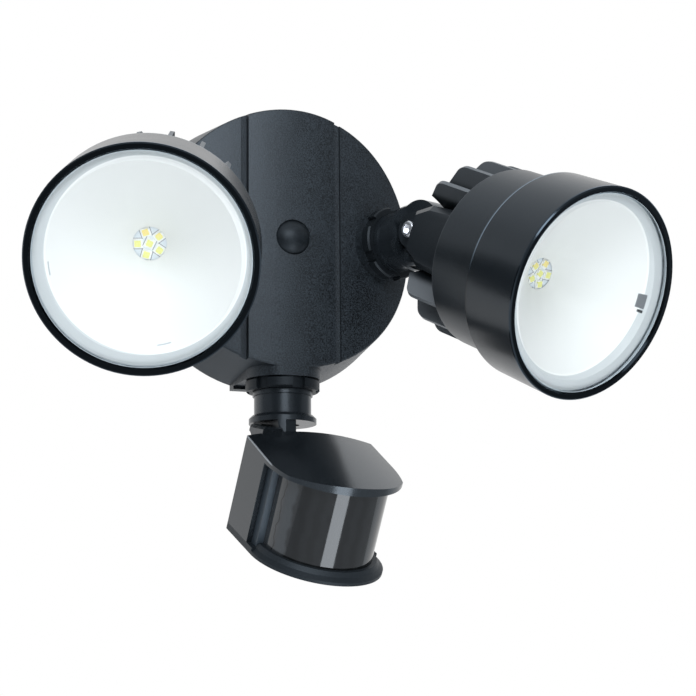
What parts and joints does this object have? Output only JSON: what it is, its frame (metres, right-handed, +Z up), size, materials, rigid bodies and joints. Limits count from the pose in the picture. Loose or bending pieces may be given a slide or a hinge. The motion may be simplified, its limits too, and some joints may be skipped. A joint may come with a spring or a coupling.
{
  "type": "motion sensor security light",
  "caption": "Outdoor wall light with finned round LED heads on swivel arms and a hooded motion sensor, all carried by a round dished wall canopy.",
  "frame": {"origin": "centre of the canopy's back, in the wall plane, midway between the strap's two screw slots", "axes": "+X to the right for someone who faces the light, +Y into the wall, +Z up"},
  "size_m": [0.2872, 0.1701, 0.2258],
  "materials": {
    "housing_coat": "charcoal black satin powder coat with a fine mottle",
    "rim_coat": "charcoal black satin coat with a glossy rim",
    "clear_lens": "clear, polished",
    "seal_rubber": "black, matt",
    "reflector_white": "smooth white satin",
    "led_board_white": "white solder mask",
    "led_phosphor": "yellow phosphor in white frames",
    "bright_steel": "zinc plated, bright",
    "sensor_plastic": "black, gloss",
    "sensor_window": "smoky, smooth, glossy",
    "circuit_board": "green solder mask",
    "components": "mixed black and blue moulded cases"
  },
  "bodies": {
    "canopy": {"canopy_housing": "housing_coat", "wall_gasket": "seal_rubber", "mounting_strap": "bright_steel", "mounting_bolt": "bright_steel", "bolt_plug": "seal_rubber", "control_board": "circuit_board", "board_components": "components", "board_standoffs": "bright_steel", "board_screws": "bright_steel"},
    "left_arm": {"left_arm_stem": "housing_coat"},
    "left_locknut": {"left_arm_locknut": "housing_coat"},
    "right_arm": {"right_arm_stem": "housing_coat"},
    "right_locknut": {"right_arm_locknut": "housing_coat"},
    "sensor_arm": {"sensor_arm_stem": "housing_coat"},
    "sensor_locknut": {"sensor_arm_locknut": "housing_coat"},
    "left_head": {"left_head_housing": "housing_coat", "left_head_bezel": "rim_coat", "left_head_lens": "clear_lens", "left_head_lens_gasket": "seal_rubber", "left_head_reflector": "reflector_white", "left_head_led_board": "led_board_white", "left_head_led_chips": "led_phosphor", "left_head_hinge_screw": "bright_steel", "left_head_hinge_nut": "bright_steel"},
    "right_head": {"right_head_housing": "housing_coat", "right_head_bezel": "rim_coat", "right_head_lens": "clear_lens", "right_head_lens_gasket": "seal_rubber", "right_head_reflector": "reflector_white", "right_head_led_board": "led_board_white", "right_head_led_chips": "led_phosphor", "right_head_hinge_screw": "bright_steel", "right_head_hinge_nut": "bright_steel"},
    "sensor": {"sensor_housing": "sensor_plastic", "sensor_lens_frame": "sensor_plastic", "sensor_lens": "sensor_window", "sensor_base": "sensor_plastic", "sensor_board": "circuit_board", "sensor_detector": "bright_steel", "sensor_hinge_screw": "bright_steel", "sensor_hinge_nut": "bright_steel", "sensor_case_screws": "bright_steel"},
    "dial_1": {"sensor_dial_1": "sensor_plastic"},
    "dial_2": {"sensor_dial_2": "sensor_plastic"},
    "dial_3": {"sensor_dial_3": "sensor_plastic"}
  },
  "joints": [
    {"name": "right_arm_swivel", "type": "hinge", "parent": "canopy", "child": "right_arm", "pos_m": [0.0467, -0.0334, 0.001], "axis": [0.3633, -0.9317, 0], "range_deg": [-90, 90]},
    {"name": "left_arm_swivel", "type": "hinge", "parent": "canopy", "child": "left_arm", "pos_m": [-0.0467, -0.0334, 0.001], "axis": [0.3633, 0.9317, 0], "range_deg": [-90, 90]},
    {"name": "right_head_tilt", "type": "hinge", "parent": "right_arm", "child": "right_head", "pos_m": [0.05851, -0.06368, 0.001], "axis": [0.9317, 0.3633, 0], "range_deg": [-85, 35]},
    {"name": "left_head_tilt", "type": "hinge", "parent": "left_arm", "child": "left_head", "pos_m": [-0.05851, -0.06368, 0.001], "axis": [0.9317, -0.3633, 0], "range_deg": [-85, 35]},
    {"name": "sensor_arm_swivel", "type": "hinge", "parent": "canopy", "child": "sensor_arm", "pos_m": [0, -0.026, -0.0639], "axis": [0, 0, 1], "range_deg": [-55, 20]},
    {"name": "sensor_tilt", "type": "hinge", "parent": "sensor_arm", "child": "sensor", "pos_m": [0, -0.026, -0.0925], "axis": [0.9914, 0.1305, 0], "range_deg": [-15, 15]},
    {"name": "right_locknut_turn", "type": "hinge", "parent": "canopy", "child": "right_locknut", "pos_m": [0.0467, -0.0334, 0.001], "axis": [0.3633, -0.9317, 0], "range_deg": [0, 60]},
    {"name": "left_locknut_turn", "type": "hinge", "parent": "canopy", "child": "left_locknut", "pos_m": [-0.0467, -0.0334, 0.001], "axis": [0.3633, 0.9317, 0], "range_deg": [0, 60]},
    {"name": "sensor_locknut_turn", "type": "hinge", "parent": "canopy", "child": "sensor_locknut", "pos_m": [0, -0.026, -0.0639], "axis": [0, 0, 1], "range_deg": [0, 60]},
    {"name": "dial_1_turn", "type": "hinge", "parent": "sensor", "child": "dial_1", "pos_m": [-0.00845, -0.02769, -0.13582], "axis": [0.0639, -0.4852, 0.8721], "range_deg": [-135, 135]},
    {"name": "dial_2_turn", "type": "hinge", "parent": "sensor", "child": "dial_2", "pos_m": [0.00642, -0.02573, -0.13582], "axis": [0.0639, -0.4852, 0.8721], "range_deg": [-135, 135]},
    {"name": "dial_3_turn", "type": "hinge", "parent": "sensor", "child": "dial_3", "pos_m": [0.02129, -0.02377, -0.13582], "axis": [0.0639, -0.4852, 0.8721], "range_deg": [-135, 135]}
  ]
}
